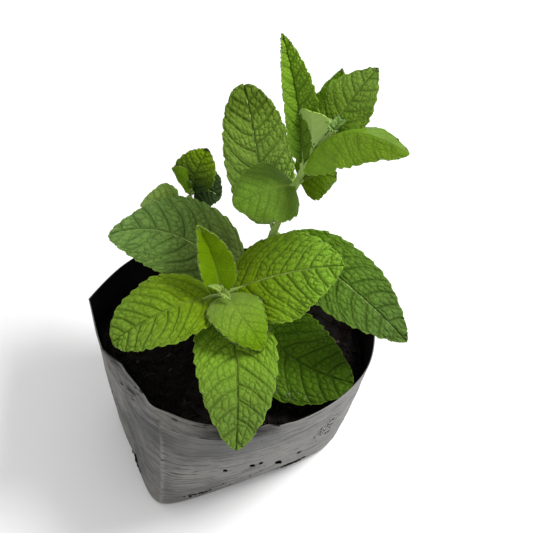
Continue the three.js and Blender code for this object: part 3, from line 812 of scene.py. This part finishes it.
def patches(a, b, seed):
    """How far each point of a plane is from the border between irregular cells one unit wide."""
    nearest, second = np.full(a.shape, 9.0), np.full(a.shape, 9.0)
    for di in (-1, 0, 1):
        for dj in (-1, 0, 1):
            i, j = np.floor(a) + di, np.floor(b) + dj
            jump = np.sin(i * 127.1 + j * 311.7 + seed) * 43758.5453
            hop = np.sin(i * 269.5 + j * 183.3 + seed) * 43758.5453
            far = np.hypot(i + 0.1 + 0.8 * (jump - np.floor(jump)) - a,
                           j + 0.1 + 0.8 * (hop - np.floor(hop)) - b)
            second = np.where(far < nearest, nearest, np.minimum(second, far))
            nearest = np.minimum(nearest, far)
    return second - nearest


def quilting(leaf, s, y, seed):
    """The swelling of the blade between its veins, the cut of the veins and the midrib, each 0 to 1."""
    length, half = blade_length(leaf), leaf.width / 2
    x, out = s * length, np.abs(y)
    apart = length / leaf.pairs
    bend = wander(x / 9, y / 9, seed)
    forward = 0.5 * out + 0.5 * half * (out / half) ** 2.4
    phase = (x - forward + 1.3 * bend) / apart + np.where(y > 0, 0.4, 0.0)
    branch_far = np.abs(phase - np.rint(phase)) * apart * 0.8
    size = min(max(leaf.width / 11, 1.5), 2.9)
    cell_far = patches(phase * apart / size / 1.1, (out + 0.35 * x + bend) / size, seed) * size * 0.5
    small_far = patches(phase * apart / size * 2.1, (out + 0.35 * x) / size * 2.3, seed + 5) * size * 0.22
    rib = np.exp(-(out / (0.3 + 0.35 * (1 - s))) ** 2)
    branch = np.exp(-(branch_far / 0.32) ** 2) * np.clip(1.35 - out / half, 0.4, 1)
    # the net fades in and out over the blade
    net = np.exp(-(cell_far / 0.2) ** 2) * np.clip(0.7 + 0.8 * wander(x / 6, y / 6, seed + 2), 0.2, 1)
    dome = np.sin(np.pi / 2 * np.clip(cell_far / (0.45 * size), 0, 1))
    puff = np.sin(np.pi / 2 * np.clip(small_far / (0.2 * size), 0, 1))
    swell = np.abs(np.sin(np.pi * phase)) ** 0.7
    cut = np.maximum(np.maximum(rib, branch), 0.55 * net)
    return (0.22 + 0.32 * dome + 0.14 * puff + 0.34 * swell) * (1 - cut), cut, rib


def leaf_upper():
    # Upper face of a mint leaf: a thin waxy skin over green flesh, dull to satin, with painted shade along
    # the sunken veins and painted light on the swellings, and lighter at its edge. Fine cells 1 mm wide crowd
    # between the veins, with painted shade in their borders.
    material, tree, surface = new_material("mint_leaf_upper_face")
    uv = add(tree, "UVMap", {}, uv_map="UVMap")
    swell, vein, rib, edge = (add(tree, "Attribute", {}, "Fac", attribute_name=name)
                              for name in ("swell", "vein", "rib", "edge"))
    cells = add(tree, "TexVoronoi", {"Vector": uv, "Scale": 900}, "Distance", feature="DISTANCE_TO_EDGE",
                voronoi_dimensions="2D")
    cells = add(tree, "MapRange", {0: cells, 1: 0.0, 2: 0.3})
    # blotches 6 mm across, and down of 0.4 mm
    blotch = add(tree, "TexNoise", {"Vector": uv, "Scale": 160, "Detail": 3})
    down = add(tree, "TexNoise", {"Vector": uv, "Scale": 2600, "Detail": 2})
    colour = add(tree, "Attribute", {}, "Color", attribute_name="tone")
    # painted light on the swellings, painted shade along the veins and cell borders; blotches are its own
    # tone
    for value, low, high, dark, bright in ((swell, 0.1, 0.9, 0.84, 1.22), (vein, 0.3, 1.0, 1.0, 0.81),
                                           (cells, 0.0, 1.0, 0.9, 1.05), (blotch, 0.3, 0.7, 0.88, 1.12)):
        level = add(tree, "MapRange", {0: value, 1: low, 2: high, 3: dark, 4: bright})
        colour = add(tree, "VectorMath", {0: colour, 1: level}, operation="MULTIPLY")
    for value, most, pale in ((rib, 0.35, "#93ab48"), (edge, 0.3, "#86a63a")):
        share = add(tree, "Math", {0: value, 1: most}, operation="MULTIPLY")
        colour = add(tree, "Mix", {0: share, 6: colour, 7: linear(pale)}, 2, data_type="RGBA")
    rough = add(tree, "MapRange", {0: down, 3: 0.38, 4: 0.6})
    relief = add(tree, "Mix", {0: 0.3, 2: cells, 3: down})
    bump = add(tree, "Bump", {"Height": relief, "Strength": 0.5, "Distance": 0.00022})
    feed(tree, surface, {"Base Color": colour, "Roughness": rough, "Normal": bump, "IOR": 1.45,
                         "Specular IOR Level": 0.25, "Specular Tint": (0.8, 1.0, 0.25, 1.0)})
    return material


def leaf_under():
    # Underside of a mint leaf: paler and greyer than the top, matt with fine felt of 0.5 mm, and netted
    # with raised veins.
    material, tree, surface = new_material("mint_leaf_under_face")
    uv = add(tree, "UVMap", {}, uv_map="UVMap")
    tone = add(tree, "Attribute", {}, "Color", attribute_name="tone")
    swell = add(tree, "Attribute", {}, "Fac", attribute_name="swell")
    level = add(tree, "MapRange", {0: swell, 1: 0.1, 2: 0.6, 3: 1.25, 4: 0.92})
    colour = add(tree, "VectorMath", {0: tone, 1: level}, operation="MULTIPLY")
    colour = add(tree, "Mix", {0: 0.35, 6: colour, 7: linear("#86a163")}, 2, data_type="RGBA")
    felt = add(tree, "TexNoise", {"Vector": uv, "Scale": 2200, "Detail": 3})
    grey = add(tree, "MapRange", {0: felt, 1: 0.45, 2: 0.75, 3: 0.0, 4: 0.35})
    colour = add(tree, "Mix", {0: grey, 6: colour, 7: linear("#a5b88a")}, 2, data_type="RGBA")
    rough = add(tree, "MapRange", {0: felt, 3: 0.65, 4: 0.9})
    bump = add(tree, "Bump", {"Height": felt, "Strength": 0.4, "Distance": 0.0002})
    feed(tree, surface, {"Base Color": colour, "Roughness": rough, "Normal": bump, "Specular IOR Level": 0.2,
                         "Sheen Weight": 0.08, "Sheen Roughness": 0.5})
    return material


def cut_teeth(leaf, s, v):
    """How far the edge is cut in behind each tooth, and how far the tooth's point leans to the tip."""
    count = (s - 0.04) / 0.92 * leaf.teeth
    part = count - np.floor(count)
    depth = TOOTH * min(1, leaf.width / 24)
    rising = 1 - np.clip(part / TOOTH_PEAK, 0, 1) ** 0.7
    falling = np.clip((part - TOOTH_PEAK) / (1 - TOOTH_PEAK), 0, 1)
    edge = np.abs(v) ** 12 * ((s > 0.04) & (s < 0.96))
    inset = depth * np.where(part < TOOTH_PEAK, rising, falling) * edge
    return inset, TOOTH_LEAN / blade_length(leaf) * part * edge


def blade_normals(leaf, s, v):
    """The way that the blade's upper face looks."""
    forward = blade_points(leaf, s + 1e-3, v) - blade_points(leaf, s - 1e-3, v)
    across = blade_points(leaf, s, v + 0.02) - blade_points(leaf, s, v - 0.02)
    return unit(np.cross(forward, across))


def make_blade(name, leaf, node, slot, seed):
    columns = int(np.clip(leaf.reach / SPACING, 30, 230))
    rows = 2 * int(np.clip(leaf.width / SPACING / 2, 12, 65))
    mesh, s, up = flat_sheet(name, columns, rows)
    v = 2 * up - 1
    inset, lean = cut_teeth(leaf, s, v)
    # the grid stops just short of the two ends, where the blade has no width
    s = np.clip(s * 0.999 + 0.0005 + lean, 0.0005, 0.9995)
    y = v * half_width(leaf, s)
    lay_uv(mesh, s * blade_length(leaf), y)
    swell, vein, rib = quilting(leaf, s, y, seed)
    edge = np.clip((np.abs(v) - 1) * half_width(leaf, s) / 0.7 + 1, 0, 1)
    # the blade is smoother near its stalk, and thins out at its edge
    crisp = (1 - leaf.faint) * (1 - leaf.soft * (1 - np.clip(s * 2.4, 0, 1)))
    swell = 0.5 + (swell - 0.5) * crisp * (1 - 0.6 * edge)
    out = BLADE / 2 + leaf.quilt * (swell - 0.45)
    set_points(mesh, blade_points(leaf, s, v, inset) + blade_normals(leaf, s, v) * out[:, None])
    base, tip, dried = (np.array(linear(c)) for c in (*leaf.tones, DRIED))
    share, dry = np.clip(s * 1.5 - 0.25, 0, 1)[:, None], ramp(s, leaf.dry, leaf.dry + 0.04)[:, None]
    tone = (base * (1 - share) + tip * share) * (1 - dry) + dried * dry
    mesh.attributes.new("tone", "FLOAT_COLOR", "POINT").data.foreach_set("color", tone.ravel())
    lay_values(mesh, swell=swell, vein=vein * crisp, rib=rib * np.clip(1.1 - 1.9 * s, 0, 1), edge=edge)
    close_seams(mesh)
    faces = [bpy.data.materials["mint_leaf_upper_face"], bpy.data.materials["mint_leaf_under_face"]]
    thicken(finished(mesh, faces, slot, node), BLADE)


def stalk_mesh(leaf):
    """The leaf stalk, which runs on under the blade as its midrib and thins out towards the tip."""
    t = np.linspace(0, 0.94, 40)
    stalk = leaf.stalk / leaf.reach
    s = np.clip((t - stalk) / (1 - stalk), 0, 1)
    thick = (0.8 if leaf.width > 12 else 0.55) * (1 - s) ** 0.8 + 0.12
    sunk = np.clip(s / 0.12, 0, 1) * (thick * 0.8 + 0.35)
    path = midrib(leaf, t) - compass(leaf)[2] * sunk[:, None]
    return strand(path, lambda along, turned: np.interp(along, np.linspace(0, 1, len(t)), thick), 10, "stalk")


leaf_upper()
leaf_under()
stem_skin()
SLOTS = {"front": "young_leaf", "tall": "mature_leaf", "back": "mature_leaf"}
for shoot, leaves in LEAVES.items():
    parts = [stem_mesh(STEMS[shoot])]
    for number, leaf in enumerate(leaves, 1):
        make_blade(f"{shoot}_leaf_{number}", leaf, f"shoot_{shoot}", SLOTS[shoot], number * 7.3 + len(shoot))
        parts.append(stalk_mesh(leaf))
    finished(join_meshes(f"{shoot}_stem", parts), [bpy.data.materials["mint_stem"]], SLOTS[shoot],
             f"shoot_{shoot}")

# ---- the buds ---------------------------------------------
# At the end of a shoot the next leaves are still folded face to face, small, pale and felted. They are
# grown like the leaves below them, from the last knot of the stem.
FRONT_BUD = ("#8ea252", "#7e963c")
TALL_BUD = ("#7fa050", "#6f9440")
BACK_BUD = ("#5a7a24", "#50701c")


def bud(at, turned, rise, reach, width, fold, tones, arch=0):
    return Leaf(at, turned, rise, reach, width, teeth=3, quilt=0.12, pairs=4, tones=tones, arch=arch,
                fold=fold, stalk=0.6, faint=0.6)


BUDS = {
    "front": [
        bud((-7, -9, 104), -75, 25, 7, 4.6, 50, FRONT_BUD, 1.2),
        bud((-7, -9, 104), 150, 45, 6, 4, 50, FRONT_BUD, 1),
        bud((-7, -9, 104), 60, 60, 4, 2.6, 30, FRONT_BUD),
    ],
    "tall": [
        bud((44, 7, 155), -40, 55, 7, 4.5, 35, TALL_BUD),
        bud((44, 7, 155), 140, 50, 6.5, 4.4, 30, TALL_BUD),
        bud((44, 7, 155), 40, 45, 5.5, 3.6, 25, TALL_BUD),
        bud((44, 7, 155), -130, 40, 5, 3.6, 25, TALL_BUD),
        bud((44, 7, 156), 95, 70, 3.5, 2.4, 35, TALL_BUD),
    ],
    "back": [
        bud((2, 53, 95), 110, 75, 8, 5, 35, BACK_BUD),
    ],
}

for shoot, leaves in BUDS.items():
    for number, leaf in enumerate(leaves, 1):
        make_blade(f"{shoot}_bud_{number}", leaf, f"shoot_{shoot}", SLOTS[shoot], number * 3.1)

# ---- the hairs --------------------------------------------
# Short soft hairs of single cells stand on the stems and along the edges of the youngest leaves. They
# are clear and colourless, so they show as a pale fringe.
HAIR_THICK = 0.045  # twice as coarse as real ones, so that they show
STEM_HAIRS, EDGE_HAIRS = 420, 90


def mint_hair():
    # Living plant hair: clear, thin-walled and slightly waxy, whitish where light catches it.
    material, tree, surface = new_material("mint_hair")
    place = add(tree, "TexCoord", {}, "Object")
    # each hair is whiter or greener by chance, from spots 1 mm across
    spot = add(tree, "TexNoise", {"Vector": place, "Scale": 900})
    colour = add(tree, "Mix", {0: spot, 6: linear("#9db37c"), 7: linear("#d3dfbe")}, 2, data_type="RGBA")
    rough = add(tree, "MapRange", {0: spot, 3: 0.4, 4: 0.6})
    feed(tree, surface, {"Base Color": colour, "Roughness": rough, "Specular IOR Level": 0.3,
                         "Transmission Weight": 0.3})
    return material


def grow_hair(coat, root, direction, length):
    direction = direction / np.linalg.norm(direction)
    middle = Matrix.Translation(Vector(root + direction * length * 0.45) * MM)
    bmesh.ops.create_cone(coat, cap_ends=True, cap_tris=True, segments=3, radius1=HAIR_THICK * MM,
                          radius2=HAIR_THICK * 0.2 * MM, depth=length * MM, matrix=middle @ facing(direction))


def make_hairs(shoot, leaves, seed):
    draw = random.Random(seed)
    coat = bmesh.new()
    path = smooth_path(STEMS[shoot]["path"])
    bare = path[path[:, 2] > SOIL_TOP + 5]
    ahead = unit(np.gradient(bare, axis=0))
    low, high = STEMS[shoot]["thick"]
    for _ in range(STEM_HAIRS):
        k = draw.randrange(len(bare))
        flat = unit(np.cross(ahead[k], [[draw.uniform(-1, 1), draw.uniform(-1, 1), 0.3]]))[0]
        size = 0.5 * (low + (high - low) * (len(path) - len(bare) + k) / len(path))
        grow_hair(coat, bare[k] + flat * size * 0.95, flat - ahead[k] * 0.4, draw.uniform(0.4, 0.9))
    for leaf in leaves:
        for side in (-1.0, 1.0):
            s = np.array([draw.uniform(0.05, 0.98) for _ in range(EDGE_HAIRS)])
            v = np.full(len(s), side)
            edge = blade_points(leaf, s, v)
            outward = unit(edge - blade_points(leaf, s, v * 0.85))
            forward = unit(blade_points(leaf, s + 0.01, v) - edge)
            for root, out, on in zip(edge, outward, forward):
                grow_hair(coat, root - out * 0.2, out + on * 0.7, draw.uniform(0.3, 0.6))
    finished(as_mesh(coat, f"{shoot}_hairs"), [bpy.data.materials["mint_hair"]], SLOTS[shoot])


mint_hair()
make_hairs("front", LEAVES["front"][:2] + BUDS["front"], 41)
make_hairs("tall", LEAVES["tall"][9:] + BUDS["tall"], 42)
make_hairs("back", LEAVES["back"][3:] + BUDS["back"], 43)

# ---- the water beads --------------------------------------
# Drops left from watering, held round by their own tension. They lie on the tip of the broad front leaf
# and cling to the film at the right.
LEAF_BEADS, FILM_BEADS = 50, 120


def water():
    # Clean water: clear and smooth all through, so it has no pattern.
    material, tree, surface = new_material("clean_water")
    feed(tree, surface, {"Base Color": (1, 1, 1, 1), "Transmission Weight": 1, "Roughness": 0.03,
                         "IOR": 1.333})
    return material


def lay_bead(beads, place, normal, radius):
    lay_lump(beads, place, facing(normal), (radius, radius, radius * 0.6), 2)


def make_beads():
    draw = random.Random(61)
    beads = bmesh.new()
    leaf = LEAVES["tall"][0]
    for _ in range(LEAF_BEADS):
        s, v = np.array([draw.gauss(0.67, 0.07)]), np.array([draw.uniform(-0.92, -0.5)])
        normal = blade_normals(leaf, s, v)[0]
        radius = 0.16 + 0.35 * draw.random() ** 3
        lay_bead(beads, blade_points(leaf, s, v)[0] + normal * (BLADE + 0.3), normal, radius)
    for _ in range(FILM_BEADS):
        place, (nx, ny) = film_spot(draw.gauss(298.5, 3), draw.gauss(42, 8))
        lay_bead(beads, place, (nx, ny, -0.15), 0.18 + 0.45 * draw.random() ** 2)
    finished(as_mesh(beads, "water_beads"), [water()], "bag_film")


make_beads()

# ---- the studio -------------------------------------------
# A floor of white card under a soft white sky, with one broad lamp above the right of the camera and a
# weak one at its left.
CAMERA_AZIMUTH, CAMERA_ELEVATION, CAMERA_DISTANCE = -22.0, 50.0, 440.0
CAMERA_TARGET = (27.9, 31.6, 60.0)
IMAGE_SIDE, FOCAL_PIXELS = 533, 1000.0
SENSOR = 36.0
FLOOR_HALF = 3.0  # metres
# name, place in metres, size in metres and watts of each lamp
LAMPS = [("key", (0.42, -0.1, 0.62), 0.22, 5.0), ("fill", (-0.6, -0.3, 0.6), 0.5, 0.8)]
SKY = 0.7


def make_camera():
    a, e = math.radians(CAMERA_AZIMUTH), math.radians(CAMERA_ELEVATION)
    back = Vector((math.sin(a) * math.cos(e), -math.cos(a) * math.cos(e), math.sin(e)))
    lens = bpy.data.cameras.new("camera")
    lens.sensor_width = SENSOR
    lens.lens = SENSOR * FOCAL_PIXELS / IMAGE_SIDE
    lens.clip_start, lens.clip_end = 0.01, 20
    camera = placed("camera", lens)
    camera.location = (Vector(CAMERA_TARGET) + back * CAMERA_DISTANCE) * MM
    camera.rotation_euler = back.to_track_quat("Z", "Y").to_euler()
    bpy.context.scene.camera = camera


def make_floor():
    floor = bmesh.new()
    bmesh.ops.create_grid(floor, x_segments=1, y_segments=1, size=FLOOR_HALF)
    mesh = as_mesh(floor, "floor")
    # matt white card, with the faintest tooth, 1.4 mm wide
    material, tree, surface = new_material("white_card")
    place = add(tree, "TexCoord", {}, "Object")
    tooth = add(tree, "TexNoise", {"Vector": place, "Scale": 700})
    colour = add(tree, "Mix", {0: tooth, 6: linear("#f3f3f3"), 7: linear("#f7f7f7")}, 2, data_type="RGBA")
    feed(tree, surface, {"Base Color": colour, "Roughness": 0.9, "Specular IOR Level": 0.1})
    mesh.materials.append(material)
    card = placed("floor", mesh)


def make_lights():
    world = bpy.data.worlds.new("sky")
    world.use_nodes = True
    sky = world.node_tree.nodes["Background"]
    feed(world.node_tree, sky, {"Color": (1, 1, 1, 1), "Strength": SKY})
    bpy.context.scene.world = world
    for name, place, size, power in LAMPS:
        lamp = bpy.data.lights.new(name, "AREA")
        lamp.size, lamp.energy = size, power
        light = placed(name, lamp)
        light.location = place
        light.rotation_euler = Vector(place).to_track_quat("Z", "Y").to_euler()
    bpy.context.scene.view_settings.view_transform = "Standard"


make_camera()
make_floor()
make_lights()
